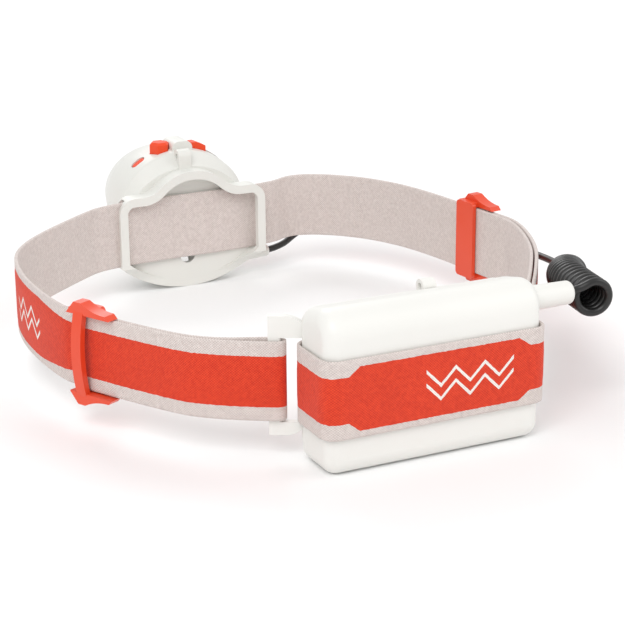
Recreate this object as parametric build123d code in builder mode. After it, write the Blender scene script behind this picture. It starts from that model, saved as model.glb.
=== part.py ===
from build123d import *
import os
from math import atan, cos, degrees, radians, sin, tan

# Headlamp with an elastic headband, a rear battery pack and a curly power lead.
# Millimetres. X is to the wearer's right, Y is the way the beam points, Z is up.
# The origin is on the surface that the lamp stands on, under the middle of the headband.

os.makedirs("parts", exist_ok=True)

# ---- driving dimensions ----
LENGTH = 232.0
PACK_WIDTH = 73.0
PACK_HEIGHT = 50.0
STRAP_WIDTH = 25.0
STRAP_THICK = 1.4
GAP = 0.3
RUN_FIT = 0.05

BAND_THICK = 1.2
BACK = -LENGTH / 2 + BAND_THICK + GAP
FRONT = LENGTH / 2
MID_Z = PACK_HEIGHT / 2
STRAP_LOW = MID_Z - STRAP_WIDTH / 2


def save(builder, name):
    """Label a finished piece and write its STEP file."""
    builder.part.label = name
    export_step(builder.part, f"parts/{name}.step")


def bend_radii(points, share=0.45):
    """The largest even radius at each inner point of a route."""
    corners = zip(points, points[1:], points[2:])
    radii = []
    for before, here, after in corners:
        arrive = Vector(here) - Vector(before)
        leave = Vector(after) - Vector(here)
        shorter = min(arrive.length, leave.length)
        radii.append(share * shorter / tan(radians(arrive.get_angle(leave)) / 2))
    return radii


def alongside(points, gap):
    """An open plan route moved sideways, to the left of its travel, by gap."""
    moved = []
    for before, here, after in zip([None] + points[:-1], points, points[1:] + [None]):
        arrive = (Vector(here) - Vector(before)).normalized() if before else None
        leave = (Vector(after) - Vector(here)).normalized() if after else arrive
        arrive = arrive or leave
        middle = (arrive + leave).normalized()
        reach = gap / middle.dot(arrive)
        moved.append((here[0] - middle.Y * reach, here[1] + middle.X * reach))
    return moved


def between(start, end, distance):
    """The point at a distance back from end, on the straight run from start."""
    run = Vector(end) - Vector(start)
    place = Vector(end) - run.normalized() * distance
    return (place.X, place.Y)


# ---- rear pack: cover ----
WALL = 1.6
PARTING_Y = BACK + 17.0
COVER_TOP_R = 8.0
COVER_CROWN = 14.0
COVER_LOW_R = 5.0
COVER_END_R = 4.5

# ---- lead from the pack: boot and where it leaves the cover ----
LEAD_R = 1.3
BOOT_Y = BACK + 12.8
BOOT_Z = MID_Z + 16.0
BOOT_R = 4.0
BOOT_TIP_R = 3.7
BOOT_TIP_X = 54.0
BOOT_NECK_R = 3.0
BOOT_FLANGE_R = 3.5

with BuildPart() as pack_cover:
    with BuildSketch(Plane.YZ.offset(-PACK_WIDTH / 2)):
        with BuildLine():
            bottom = Line((PARTING_Y, 0), (BACK + COVER_LOW_R, 0))
            low = JernArc(bottom @ 1, bottom % 1, COVER_LOW_R, -90)
            face = Line(low @ 1, (BACK, PACK_HEIGHT - COVER_TOP_R))
            crown = JernArc(face @ 1, face % 1, COVER_TOP_R, -90 - COVER_CROWN)
            fall = (PARTING_Y - (crown @ 1).X) * tan(radians(COVER_CROWN))
            roof = Line(crown @ 1, (PARTING_Y, (crown @ 1).Y - fall))
            Line(roof @ 1, bottom @ 0)
        make_face()
    extrude(amount=PACK_WIDTH)
    ends = pack_cover.faces().sort_by(Axis.X)
    rims = ends[0].edges() + ends[-1].edges()
    fillet(rims.filter_by(lambda rim: rim.center().Y < PARTING_Y - 0.01), COVER_END_R)
    offset(amount=-WALL, openings=pack_cover.faces().sort_by(Axis.Y)[-1])
    with BuildSketch(Plane.YZ.offset(PACK_WIDTH / 2 - COVER_END_R)):
        with Locations((BOOT_Y, BOOT_Z)):
            Circle(BOOT_R + GAP)
        with Locations((BOOT_Y + BOOT_R, BOOT_Z)):
            Rectangle(2 * BOOT_R, 2 * (BOOT_R + GAP))
    extrude(amount=2 * COVER_END_R, mode=Mode.SUBTRACT)
save(pack_cover, "pack_cover")

# ---- rear pack: base plate with a wing at each end ----
BASE_THICK = 3.4
BASE_HALF_X = 35.2
BASE_LOW = 1.0
BASE_HIGH = 46.9
BASE_Y = PARTING_Y + BASE_THICK
WING_ROOT_X = 33.0
WING_ROOT_Y = PARTING_Y + 1.0
WING_ANGLE = 28.0
WING_REACH = 12.9
WING_THICK = 2.2
WING_LOW = 7.5
WING_HIGH = 45.0
SLOT_START = 2.8
SLOT_END = 9.1
SLOT_MARGIN = 0.8
TENON_X = 34.5
TENON_LOW = 2.0
TENON_HIGH = 45.1
TENON_DEEP = 2.2
TENON_WALL = 1.2
TENON_R = 3.2

# ---- cells: three AA, one above the other ----
CELL_R = 7.25
CELL_PITCH = 14.6
CELL_MID_Z = MID_Z - 1.0
CELL_BODY = 49.2
CELL_NUB = 1.3
CELL_NUB_R = 2.75
CELL_Y = BACK + 9.2
BAY_LEFT = -31.6
BAY_RIGHT = 24.4
BAY_WALL = 1.2
PLATE_THICK = 0.5
TOUCH = 0.05

EYE_R = 2.3
EYE_HOLE_R = 1.1
EYE_X = 6.3
EYE_LENGTH = 4.5
EYE_Y = BASE_Y - 1.0
EYE_Z = 48.2
SADDLE_X = 29.0
SADDLE_LENGTH = 4.2


def wing_plane(side):
    """The middle plane of a wing: X outwards along it, Z away from the head."""
    lean = radians(WING_ANGLE)
    along = Vector(side * cos(lean), sin(lean), 0)
    root = (side * WING_ROOT_X, WING_ROOT_Y, 0)
    return Plane(origin=root, x_dir=along, z_dir=along.cross(Vector(0, 0, side)))


def wing_point(side, along, towards_head):
    """A plan point set out along a wing and off its middle plane."""
    lean = radians(WING_ANGLE)
    x = WING_ROOT_X + along * cos(lean) - towards_head * sin(lean)
    return (side * x, WING_ROOT_Y + along * sin(lean) + towards_head * cos(lean))


with BuildPart() as pack_base:
    plate_height = BASE_HIGH - BASE_LOW
    with BuildSketch(Plane.XZ.offset(-BASE_Y)):
        with Locations((0, BASE_LOW + plate_height / 2)):
            RectangleRounded(2 * BASE_HALF_X, plate_height, 5.0)
    extrude(amount=BASE_THICK)
    for side in (-1, 1):
        middle = (WING_LOW + WING_HIGH) / 2
        with BuildSketch(wing_plane(side).offset(-WING_THICK / 2)):
            with Locations((WING_REACH / 2, side * middle)):
                wing = Rectangle(WING_REACH, WING_HIGH - WING_LOW)
            outer = wing.vertices().group_by(Axis.X)[-1 if side > 0 else 0]
            fillet(outer, 8.0)
        extrude(amount=WING_THICK)
    for side in (-1, 1):
        slot_length = SLOT_END - SLOT_START
        slot_height = STRAP_WIDTH + 2 * SLOT_MARGIN
        with BuildSketch(wing_plane(side).offset(-6)):
            with Locations(((SLOT_START + SLOT_END) / 2, side * MID_Z)):
                Rectangle(slot_length, slot_height)
        extrude(amount=12, mode=Mode.SUBTRACT)
    bar_x = WING_ROOT_X + SLOT_END * cos(radians(WING_ANGLE))
    uprights = pack_base.edges().filter_by(Axis.Z)
    fillet(uprights.filter_by(lambda edge: abs(abs(edge.center().X) - bar_x) < 0.8), 0.8)
    with BuildSketch(Plane.XZ.offset(-PARTING_Y)):
        tenon_height = TENON_HIGH - TENON_LOW
        with Locations((0, TENON_LOW + tenon_height / 2)):
            RectangleRounded(2 * TENON_X, tenon_height, TENON_R)
            inner_width = 2 * (TENON_X - TENON_WALL)
            inner_height = tenon_height - 2 * TENON_WALL
            RectangleRounded(inner_width, inner_height, TENON_R - TENON_WALL, mode=Mode.SUBTRACT)
    extrude(amount=TENON_DEEP)
    for wall_x in (BAY_LEFT - PLATE_THICK - BAY_WALL, BAY_RIGHT + PLATE_THICK):
        with BuildSketch(Plane.YZ.offset(wall_x)):
            with Locations((PARTING_Y - 5, MID_Z - 1.3)):
                Rectangle(10, 40)
        extrude(amount=BAY_WALL)
    for rib_z in (CELL_MID_Z - CELL_PITCH / 2, CELL_MID_Z + CELL_PITCH / 2):
        with Locations((-3.6, PARTING_Y - 1.0, rib_z)):
            Box(44, 2.0, 1.2)
    with BuildSketch(Plane.YZ.offset(SADDLE_X)):
        with Locations((PARTING_Y - 3.4, BOOT_Z)):
            Rectangle(6.8, 8.2)
        with Locations((BOOT_Y, BOOT_Z)):
            Circle(BOOT_NECK_R + RUN_FIT, mode=Mode.SUBTRACT)
        with Locations((BOOT_Y - 4, BOOT_Z)):
            Rectangle(8, 2 * (BOOT_NECK_R + RUN_FIT), mode=Mode.SUBTRACT)
    extrude(amount=SADDLE_LENGTH)
    with BuildSketch(Plane.YZ.offset(TENON_X - TENON_WALL - 0.5)):
        with Locations((BOOT_Y, BOOT_Z)):
            Circle(BOOT_R + GAP)
        with Locations((BOOT_Y - 4, BOOT_Z)):
            Rectangle(8, 2 * (BOOT_R + GAP))
    extrude(amount=6, mode=Mode.SUBTRACT)
    with BuildSketch(Plane.YZ.offset(EYE_X - EYE_LENGTH / 2)):
        with Locations((EYE_Y, EYE_Z)):
            Circle(EYE_R)
        with Locations((EYE_Y, EYE_Z - 2)):
            Rectangle(2 * EYE_R - 1.2, 4)
        with Locations((EYE_Y, EYE_Z)):
            Circle(EYE_HOLE_R, mode=Mode.SUBTRACT)
    extrude(amount=EYE_LENGTH)
save(pack_base, "pack_base")

# soft ring pressed round the tenon, where the cover shuts on it
SEAL_DEEP = 1.0
SEAL_PROUD = 0.2
with BuildPart() as cover_seal:
    seal_x = TENON_X + SEAL_PROUD
    with BuildSketch(Plane.XZ.offset(-PARTING_Y + 1.2)):
        with Locations((0, (TENON_LOW + TENON_HIGH) / 2)):
            RectangleRounded(2 * seal_x, TENON_HIGH - TENON_LOW + 2 * SEAL_PROUD, TENON_R)
            RectangleRounded(2 * TENON_X, TENON_HIGH - TENON_LOW, TENON_R, mode=Mode.SUBTRACT)
    extrude(amount=SEAL_DEEP)
    with BuildSketch(Plane.YZ.offset(SADDLE_X + 2)):
        with Locations((BOOT_Y, BOOT_Z)):
            Rectangle(14, 2 * (BOOT_R + GAP))
    extrude(amount=6, mode=Mode.SUBTRACT)
save(cover_seal, "cover_seal")

# cells, each the other way up from the one beside it
for row, nub_end in enumerate((1, -1, 1)):
    with BuildPart() as cell:
        cell_z = CELL_MID_Z + (row - 1) * CELL_PITCH
        nub_x = BAY_RIGHT - TOUCH if nub_end > 0 else BAY_LEFT + TOUCH
        axis = Plane(origin=(nub_x, CELL_Y, cell_z), z_dir=(-nub_end, 0, 0))
        with BuildSketch(axis):
            Circle(CELL_NUB_R)
        extrude(amount=CELL_NUB)
        with BuildSketch(axis.offset(CELL_NUB)):
            Circle(CELL_R)
        extrude(amount=CELL_BODY)
        shoulder = cell.edges().filter_by(GeomType.CIRCLE).group_by(SortBy.RADIUS)[-1]
        fillet(shoulder, 0.6)
    save(cell, f"cell_{row + 1}")

# contact plates: one long and one short at each end join the cells in line
with BuildPart() as contact_plates:
    for plate_x, lone_row in ((BAY_LEFT - PLATE_THICK, -1), (BAY_RIGHT, 1)):
        with BuildSketch(Plane.YZ.offset(plate_x)):
            with Locations((CELL_Y + 1.4, CELL_MID_Z + lone_row * CELL_PITCH)):
                Rectangle(9, 9)
            with Locations((CELL_Y + 1.4, CELL_MID_Z - lone_row * CELL_PITCH / 2)):
                Rectangle(9, CELL_PITCH + 9)
        extrude(amount=PLATE_THICK)
save(contact_plates, "contact_plates")

SPRING_WIRE_R = 0.35
SPRING_COIL_R = 3.2
SPRING_TURNS = 3
with BuildPart() as contact_springs:
    for row, nub_end in enumerate((1, -1, 1)):
        free = BAY_RIGHT - BAY_LEFT - CELL_BODY - CELL_NUB - TOUCH
        height = free - 2 * (SPRING_WIRE_R + TOUCH)
        spring_x = BAY_LEFT if nub_end > 0 else BAY_RIGHT - free
        spring_z = CELL_MID_Z + (row - 1) * CELL_PITCH
        start = (spring_x + SPRING_WIRE_R + TOUCH, CELL_Y, spring_z)
        with BuildLine():
            pitch = height / SPRING_TURNS
            wire = Helix(pitch, height, SPRING_COIL_R, center=start, direction=(1, 0, 0))
        with BuildSketch(Plane(origin=wire @ 0, z_dir=wire % 0)):
            Circle(SPRING_WIRE_R)
        sweep(path=wire, is_frenet=True)
save(contact_springs, "contact_springs")

# moulded boot: neck held in the saddle, then a tapering strain relief
with BuildPart() as pack_boot:
    with BuildSketch(Plane.XY):
        with BuildLine():
            Polyline(
                (SADDLE_X - 1.2, 0), (SADDLE_X - 1.2, BOOT_FLANGE_R), (SADDLE_X - GAP, BOOT_FLANGE_R),
                (SADDLE_X - GAP, BOOT_NECK_R), (SADDLE_X + SADDLE_LENGTH + GAP, BOOT_NECK_R),
                (SADDLE_X + SADDLE_LENGTH + GAP, BOOT_R), (PACK_WIDTH / 2 + 1, BOOT_R),
                (BOOT_TIP_X, BOOT_TIP_R), (BOOT_TIP_X, 0), close=True,
            )
        make_face()
    revolve(axis=Axis.X)
    fillet(pack_boot.faces().sort_by(Axis.X)[-1].edges(), 1.4)
pack_boot.part.locate(Location((0, BOOT_Y, BOOT_Z)))
save(pack_boot, "pack_boot")

# ---- headband ----
# plan route of the inner layer, from the left wing round the front to the right wing
LEFT_RUN = [(-57.7, -82.3), (-67.6, -72.2), (-88.2, -31.5)]
OVER_FRONT = [
    (-89.8, -12.0), (-89.2, 9.0), (-84.6, 31.0), (-73.0, 47.5), (-50.4, 66.6), (-33.5, 78.8),
    (33.5, 78.8), (46.5, 88.0), (61.0, 81.0), (74.0, 65.5),
]
RIGHT_RUN = [(82.2, 42.5), (88.9, -14.0), (78.2, -42.0), (63.4, -64.5), (53.0, -79.0)]
LAYER_GAP = STRAP_THICK + GAP
BEND = WING_THICK / 2 + GAP + STRAP_THICK / 2
FOLD = SLOT_END - GAP - STRAP_THICK / 2
FOLD_R = BEND - 0.05
LEFT_BUCKLE = 11.5
RIGHT_BUCKLE = 30.0
TAIL_TUCK = 2.5


def headband_route():
    """Outer tail, fold round the left wing bar, the loop, fold, outer tail."""
    left_loop = LEFT_RUN + OVER_FRONT[:1]
    left_tail = alongside(left_loop, LAYER_GAP)
    right_loop = OVER_FRONT[-1:] + RIGHT_RUN
    right_tail = alongside(right_loop, LAYER_GAP)
    left_end = between(left_tail[1], left_tail[2], LEFT_BUCKLE - TAIL_TUCK)
    right_end = between(right_tail[2], right_tail[1], RIGHT_BUCKLE - TAIL_TUCK)
    points = [left_end, left_tail[1], left_tail[0], wing_point(-1, 13.6, -BEND)]
    points += [wing_point(-1, FOLD, -BEND), wing_point(-1, FOLD, BEND)]
    points += [wing_point(-1, 15.5, BEND)] + LEFT_RUN + OVER_FRONT + RIGHT_RUN
    points += [wing_point(1, 14.5, BEND), wing_point(1, FOLD, BEND)]
    points += [wing_point(1, FOLD, -BEND), wing_point(1, 13.6, -BEND)]
    points += [right_tail[5], right_tail[4], right_tail[3], right_tail[2], right_end]
    return points


route = headband_route()
radii = bend_radii(route)
radii = [FOLD_R if radius < 2 * FOLD_R else radius for radius in radii]
with BuildPart() as headband:
    with BuildSketch(Plane.XY.offset(STRAP_LOW)):
        with BuildLine():
            FilletPolyline(*route, radius=radii)
        trace(line_width=STRAP_THICK)
    extrude(amount=STRAP_WIDTH)
save(headband, "headband")

# ---- band that holds the pack: a closed loop through both wing slots ----
BAND_WIDTH = 24.4
BAND_LOW = 12.2
band_x = PACK_WIDTH / 2 + GAP + BAND_THICK / 2
band_front = BACK - GAP - BAND_THICK / 2
band_back = BASE_Y + GAP + BAND_THICK / 2
with BuildPart() as pack_band:
    with BuildSketch(Plane.XY.offset(BAND_LOW)):
        for grow, mode in ((BAND_THICK / 2, Mode.ADD), (-BAND_THICK / 2, Mode.SUBTRACT)):
            with Locations((0, (band_front + band_back) / 2)):
                deep = band_back - band_front + 2 * grow
                RectangleRounded(2 * (band_x + grow), deep, 2.5 + grow, mode=mode)
    extrude(amount=BAND_WIDTH)
save(pack_band, "pack_band")

# ---- strap adjusters ----
BUCKLE_PLATE = 10.0
BUCKLE_TALL = 29.2
BUCKLE_BAR = 4.0
BUCKLE_BOW = 1.8
BUCKLE_INNER = -2.5
BUCKLE_OUTER = 4.7
EAR_BACK = -5.2
EAR_FRONT = 12.6
EAR_PEAK = 16.8
EAR_NOSE = 14.3
EAR_INNER = 0.4


def buckle_plane(start, end, distance, outward):
    """X along the strap towards the pack, Y up or down, Z outwards, on the inner layer."""
    place = between(start, end, distance)
    along = (Vector(start) - Vector(end)).normalized()
    side = Vector(0, 0, outward).cross(along)
    return Plane(origin=(*place, MID_Z), x_dir=along, z_dir=side)


left_plane = buckle_plane(LEFT_RUN[1], LEFT_RUN[2], LEFT_BUCKLE, -1)
right_plane = buckle_plane(RIGHT_RUN[1], RIGHT_RUN[0], RIGHT_BUCKLE, 1)
for name, plane in (("buckle_left", left_plane), ("buckle_right", right_plane)):
    slit = STRAP_WIDTH / 2 + GAP + 0.1
    inner_face = STRAP_THICK / 2 + GAP
    bar_face = STRAP_THICK / 2 + LAYER_GAP + GAP
    cheek = BUCKLE_TALL / 2 - slit
    with BuildPart() as buckle:
        with BuildSketch(plane.offset(BUCKLE_INNER)):
            RectangleRounded(BUCKLE_PLATE, BUCKLE_TALL, 1.6)
        extrude(amount=-BUCKLE_INNER - inner_face)
        for end in (-1, 1):
            with BuildSketch(plane.offset(BUCKLE_INNER + 0.8)):
                with Locations((0, end * (slit + cheek / 2))):
                    Rectangle(BUCKLE_PLATE - 1.2, cheek)
            extrude(amount=BUCKLE_OUTER - BUCKLE_INNER - 1.2)
            # the ear: a raised hammer head over the bar, long and low towards the pack
            with BuildSketch(plane.offset(EAR_INNER)):
                with BuildLine():
                    heel = Line((EAR_BACK, end * slit), (-1.8, end * EAR_PEAK))
                    brow = Line(heel @ 1, (1.2, end * EAR_PEAK))
                    nose = (EAR_FRONT - 1.4, end * EAR_NOSE)
                    fall = ThreePointArc(brow @ 1, (5.6, end * (EAR_NOSE + 0.7)), nose)
                    tip = Line(fall @ 1, (EAR_FRONT, end * slit))
                    Line(tip @ 1, heel @ 0)
                make_face()
            extrude(amount=BUCKLE_OUTER - EAR_INNER)
        with BuildSketch(Plane(plane.origin, x_dir=plane.y_dir, z_dir=plane.x_dir).offset(-BUCKLE_BAR / 2)):
            with BuildLine():
                reach = BUCKLE_TALL / 2 - 0.8
                under = ThreePointArc((-reach, bar_face), (0, bar_face + BUCKLE_BOW), (reach, bar_face))
                rise = Line(under @ 1, (reach, BUCKLE_OUTER))
                over = ThreePointArc(rise @ 1, (0, BUCKLE_OUTER + BUCKLE_BOW), (-reach, BUCKLE_OUTER))
                Line(over @ 1, under @ 0)
            make_face()
        extrude(amount=BUCKLE_BAR)
    save(buckle, name)
    print(name, plane.origin, plane.x_dir)

# ---- front mounting plate: a shallow dish that the strap is threaded through ----
PLATE_Y = FRONT - 41.5
PLATE_DEEP = 7.5
PLATE_HALF = 30.0
PLATE_FLOOR = 2.0
PLATE_RIM = 3.2
PLATE_SHOULDER = 39.0
PLATE_TOP = 47.0
ARCH_X = 20.0
ARCH_FOOT_R = 9.0
LOBE_TOP = 12.0
BAR_THICK = 2.5
HOOD_Y = PLATE_Y + PLATE_DEEP - 1.0
HOOD_DEEP = 5.0
HOOD_WALL = 1.8
SIGHT_R = 3.0
SIGHT_Z = 12.5
TILT_Y = PLATE_Y + 14.0
TILT_Z = 8.0
TILT_PIN_R = 1.5
EAR_X = 13.0
EAR_THICK = 4.0
FRONT_EYE_R = 2.6
FRONT_EYE_Y = PLATE_Y + 8.6
FRONT_EYE_Z = 51.4


def plate_edge():
    """The dish's edge, seen from the head: a lobe below and an arch above."""
    with BuildLine() as edge:
        foot = ThreePointArc((0, 0), (16.0, 3.1), (PLATE_HALF, LOBE_TOP))
        side = Line(foot @ 1, (PLATE_HALF, PLATE_SHOULDER - 6))
        corner = JernArc(side @ 1, side % 1, 6, 90)
        ledge = Line(corner @ 1, (ARCH_X, PLATE_SHOULDER))
        swing = 2 * degrees(atan((PLATE_TOP - PLATE_SHOULDER) / ARCH_X))
        arch_r = ARCH_X / sin(radians(swing)) - ARCH_FOOT_R
        rise = JernArc(ledge @ 1, ledge % 1, ARCH_FOOT_R, -swing)
        JernArc(rise @ 1, rise % 1, arch_r, swing)
        mirror(about=Plane.YZ)
    return edge.line


with BuildPart() as mounting_plate:
    with BuildSketch(Plane.XZ.offset(-PLATE_Y - PLATE_DEEP)):
        add(plate_edge())
        make_face()
    extrude(amount=PLATE_DEEP)
    fillet(mounting_plate.faces().sort_by(Axis.Y)[-1].edges(), 1.2)
    with BuildSketch(Plane.XZ.offset(-HOOD_Y)):
        with Locations((0, 28.5)):
            Ellipse(24.0, 19.0)
    with BuildSketch(Plane.XZ.offset(-HOOD_Y - HOOD_DEEP)):
        with Locations((0, 31.2)):
            Ellipse(25.4, 20.8)
    loft()
    with BuildSketch(Plane.XZ.offset(-PLATE_Y - PLATE_DEEP)):
        with Locations((0, 30.4)):
            Ellipse(24.2 - HOOD_WALL, 19.0 - HOOD_WALL)
    extrude(amount=-HOOD_DEEP, mode=Mode.SUBTRACT)
    with BuildSketch(Plane.XZ.offset(-PLATE_Y)):
        add(plate_edge())
        make_face()
        offset(amount=-PLATE_RIM, mode=Mode.REPLACE)
    extrude(amount=-(PLATE_DEEP - PLATE_FLOOR), mode=Mode.SUBTRACT)
    with BuildSketch(Plane.XZ.offset(-PLATE_Y - BAR_THICK)):
        with Locations((0, MID_Z)):
            Rectangle(2 * PLATE_HALF + 6, STRAP_WIDTH + 1.2)
    extrude(amount=-(PLATE_DEEP - PLATE_FLOOR - BAR_THICK), mode=Mode.SUBTRACT)
    # below the strap the rim runs out, and the lobe is a plain plate
    floor_y = PLATE_Y + PLATE_DEEP - PLATE_FLOOR
    with BuildSketch(Plane.YZ.offset(-PLATE_HALF - 1)):
        with BuildLine():
            run_out = ThreePointArc((floor_y, 4.5), (floor_y - 2.4, 9.4), (PLATE_Y - 1, 12.0))
            Polyline(run_out @ 1, (PLATE_Y - 1, -1), (floor_y, -1), run_out @ 0)
        make_face()
    extrude(amount=2 * PLATE_HALF + 2, mode=Mode.SUBTRACT)
    with Locations(Plane(origin=(-1, PLATE_Y + PLATE_DEEP, SIGHT_Z), z_dir=(0, 1, 0))):
        Cylinder(SIGHT_R, 12, mode=Mode.SUBTRACT)
    for side in (-1, 1):
        ear_low = EAR_X if side > 0 else -EAR_X - EAR_THICK
        with BuildSketch(Plane.YZ.offset(ear_low)):
            with Locations((TILT_Y, TILT_Z)):
                Circle(4.0)
            with Locations((TILT_Y - 3.5, TILT_Z)):
                Rectangle(7.0, 8.0)
            with Locations((TILT_Y, TILT_Z)):
                Circle(TILT_PIN_R, mode=Mode.SUBTRACT)
        extrude(amount=EAR_THICK)
    with BuildSketch(Plane.YZ.offset(-3.2)):
        with Locations((FRONT_EYE_Y, FRONT_EYE_Z)):
            Circle(FRONT_EYE_R)
        with Locations((FRONT_EYE_Y, FRONT_EYE_Z - 2.5)):
            Rectangle(2 * FRONT_EYE_R, 5.0)
        with Locations((FRONT_EYE_Y, FRONT_EYE_Z)):
            Circle(EYE_HOLE_R, mode=Mode.SUBTRACT)
    extrude(amount=5.0)
save(mounting_plate, "mounting_plate")

# pins and friction washers of the tilting joint
LUG_X = 8.7
LUG_THICK = 3.9
with BuildPart() as tilt_pins:
    for side in (-1, 1):
        with BuildSketch(Plane.YZ.offset(side * LUG_X)):
            with Locations((TILT_Y, TILT_Z)):
                Circle(TILT_PIN_R)
        extrude(amount=side * (EAR_X + EAR_THICK - LUG_X))
save(tilt_pins, "tilt_pins")

with BuildPart() as friction_washers:
    for side in (-1, 1):
        with BuildSketch(Plane.YZ.offset(side * (LUG_X + LUG_THICK))):
            with Locations((TILT_Y, TILT_Z)):
                Circle(3.4)
                Circle(TILT_PIN_R, mode=Mode.SUBTRACT)
        extrude(amount=side * (EAR_X - LUG_X - LUG_THICK))
save(friction_washers, "friction_washers")

# ---- lamp: rear housing ----
LAMP_Z = 32.0
LAMP_Y = HOOD_Y + HOOD_DEEP + 0.4
LAMP_JOIN_Y = FRONT - 11.0
LAMP_WALL = 1.8
LAMP_SECTIONS = ((0, 24.4, 20.2), (7.5, 25.2, 21.2), (LAMP_JOIN_Y - LAMP_Y, 24.6, 20.6))
POWER_X = -6.4
POWER_Y = LAMP_Y + 6.2
POWER_R = 4.0
POWER_LOW = 48.9
POWER_TOP = 55.6
BOOST_X = -15.6
BOOST_SIZE = (5.6, 3.2)
LEVER_X = 9.0
LEVER_TRAVEL = 5.0
PRESS_CLEAR = 0.25


def lamp_oval(forward, half_x, half_z):
    """An upright oval across the lamp, forward of its rear face."""
    with BuildSketch(Plane.XZ.offset(-LAMP_Y - forward)) as oval:
        with Locations((0, LAMP_Z)):
            Ellipse(half_x, half_z)
    return oval.sketch


def boost_plane():
    """On the left flank: X round the housing, Z straight out of it."""
    half_x, half_z = LAMP_SECTIONS[1][1:]
    rise = half_z * (1 - (BOOST_X / half_x) ** 2) ** 0.5
    out = Vector(BOOST_X / half_x**2, 0, rise / half_z**2)
    around = Vector(0, 1, 0).cross(out)
    return Plane(origin=(BOOST_X, POWER_Y, LAMP_Z + rise), x_dir=around, z_dir=out)


with BuildPart() as lamp_housing:
    add([lamp_oval(*section) for section in LAMP_SECTIONS])
    loft()
    fillet(lamp_housing.faces().sort_by(Axis.Y)[0].edges(), 1.6)
    offset(amount=-LAMP_WALL, openings=lamp_housing.faces().sort_by(Axis.Y)[-1])
    # raised hump along the top, and the lugs of the tilting joint below
    with BuildSketch(Plane.XZ.offset(-LAMP_Y - 1.5)):
        with Locations((1.2, LAMP_Z + 20.9)):
            RectangleRounded(8.4, 5.8, 2.7)
    extrude(amount=-10.5)
    for side in (-1, 1):
        lug_low = LUG_X if side > 0 else -LUG_X - LUG_THICK
        with BuildSketch(Plane.YZ.offset(lug_low)):
            with Locations((TILT_Y, TILT_Z)):
                Circle(3.6)
            with Locations((TILT_Y + 1.3, TILT_Z + 3.4)):
                Rectangle(4.6, 6.8)
        extrude(amount=LUG_THICK)
    with BuildSketch(Plane.YZ.offset(-LUG_X - LUG_THICK - 1)):
        with Locations((TILT_Y, TILT_Z)):
            Circle(TILT_PIN_R + RUN_FIT)
    extrude(amount=2 * (LUG_X + LUG_THICK + 1), mode=Mode.SUBTRACT)
    with BuildSketch(Plane.XY.offset(POWER_LOW - 4)):
        with Locations((POWER_X, POWER_Y)):
            RegularPolygon(POWER_R + PRESS_CLEAR, 6)
    extrude(amount=14, mode=Mode.SUBTRACT)
    with BuildSketch(boost_plane().offset(-6)):
        SlotOverall(BOOST_SIZE[0] + 2 * PRESS_CLEAR, BOOST_SIZE[1] + 2 * PRESS_CLEAR)
    extrude(amount=12, mode=Mode.SUBTRACT)
    with BuildSketch(Plane.XY.offset(POWER_LOW - 4)):
        with Locations((LEVER_X + LEVER_TRAVEL / 2, POWER_Y)):
            Rectangle(6.0 + LEVER_TRAVEL + 2 * PRESS_CLEAR, 5.0)
    extrude(amount=14, mode=Mode.SUBTRACT)
save(lamp_housing, "lamp_housing")

with BuildPart() as power_button:
    with BuildSketch(Plane.XY.offset(POWER_LOW)):
        with Locations((POWER_X, POWER_Y)):
            RegularPolygon(POWER_R, 6)
    extrude(amount=POWER_TOP - POWER_LOW)
    chamfer(power_button.faces().sort_by(Axis.Z)[-1].edges(), 0.9)
save(power_button, "power_button")

with BuildPart() as boost_button:
    with BuildSketch(boost_plane().offset(-3.2)):
        SlotOverall(*BOOST_SIZE)
    extrude(amount=2.9)
    outward = Axis((0, 0, 0), boost_plane().z_dir)
    fillet(boost_button.faces().sort_by(outward)[-1].edges(), 0.5)
save(boost_button, "boost_button")

with BuildPart() as beam_lever:
    with BuildSketch(Plane.XZ.offset(-POWER_Y + 2.2)):
        with BuildLine():
            Polyline(
                (LEVER_X - 3.0, 47.6), (LEVER_X + 3.0, 47.6), (LEVER_X + 3.0, 52.6),
                (LEVER_X - 1.0, 54.4), (LEVER_X - 3.0, 54.4), close=True,
            )
        make_face()
    extrude(amount=-4.4)
    fillet(beam_lever.edges().filter_by(Axis.Y).sort_by(Axis.Z)[-3:], 0.5)
save(beam_lever, "beam_lever")

# ---- lamp: front bezel, window and gasket ----
BEZEL_Y = LAMP_JOIN_Y
LENS_HALF_X = 18.6
LENS_HALF_Z = 14.6
LENS_THICK = 2.0
LENS_BACK = FRONT - 5.0
GASKET = 0.8


def flat_oval(y, half_x, half_z):
    """An upright oval sketch across the beam at y."""
    with BuildSketch(Plane.XZ.offset(-y)) as oval:
        with Locations((0, LAMP_Z)):
            Ellipse(half_x, half_z)
    return oval.sketch


AHEAD = (0, 1, 0)
with BuildPart() as bezel:
    join_x, join_z = LAMP_SECTIONS[-1][1:]
    lip_y = LENS_BACK - GASKET - 1.2
    add([flat_oval(BEZEL_Y, join_x, join_z), flat_oval(FRONT, join_x - 3.4, join_z - 3.4)])
    loft()
    fillet(bezel.faces().sort_by(Axis.Y)[-1].edges(), 1.8)
    hollow = flat_oval(BEZEL_Y, join_x - 2.0, join_z - 2.0)
    extrude(hollow, amount=lip_y - BEZEL_Y, dir=AHEAD, mode=Mode.SUBTRACT)
    window = flat_oval(BEZEL_Y, LENS_HALF_X - 1.6, LENS_HALF_Z - 1.6)
    extrude(window, amount=LENGTH, dir=AHEAD, mode=Mode.SUBTRACT)
    seat = flat_oval(LENS_BACK - GASKET, LENS_HALF_X, LENS_HALF_Z)
    extrude(seat, amount=LENGTH, dir=AHEAD, mode=Mode.SUBTRACT)
save(bezel, "bezel")

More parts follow.
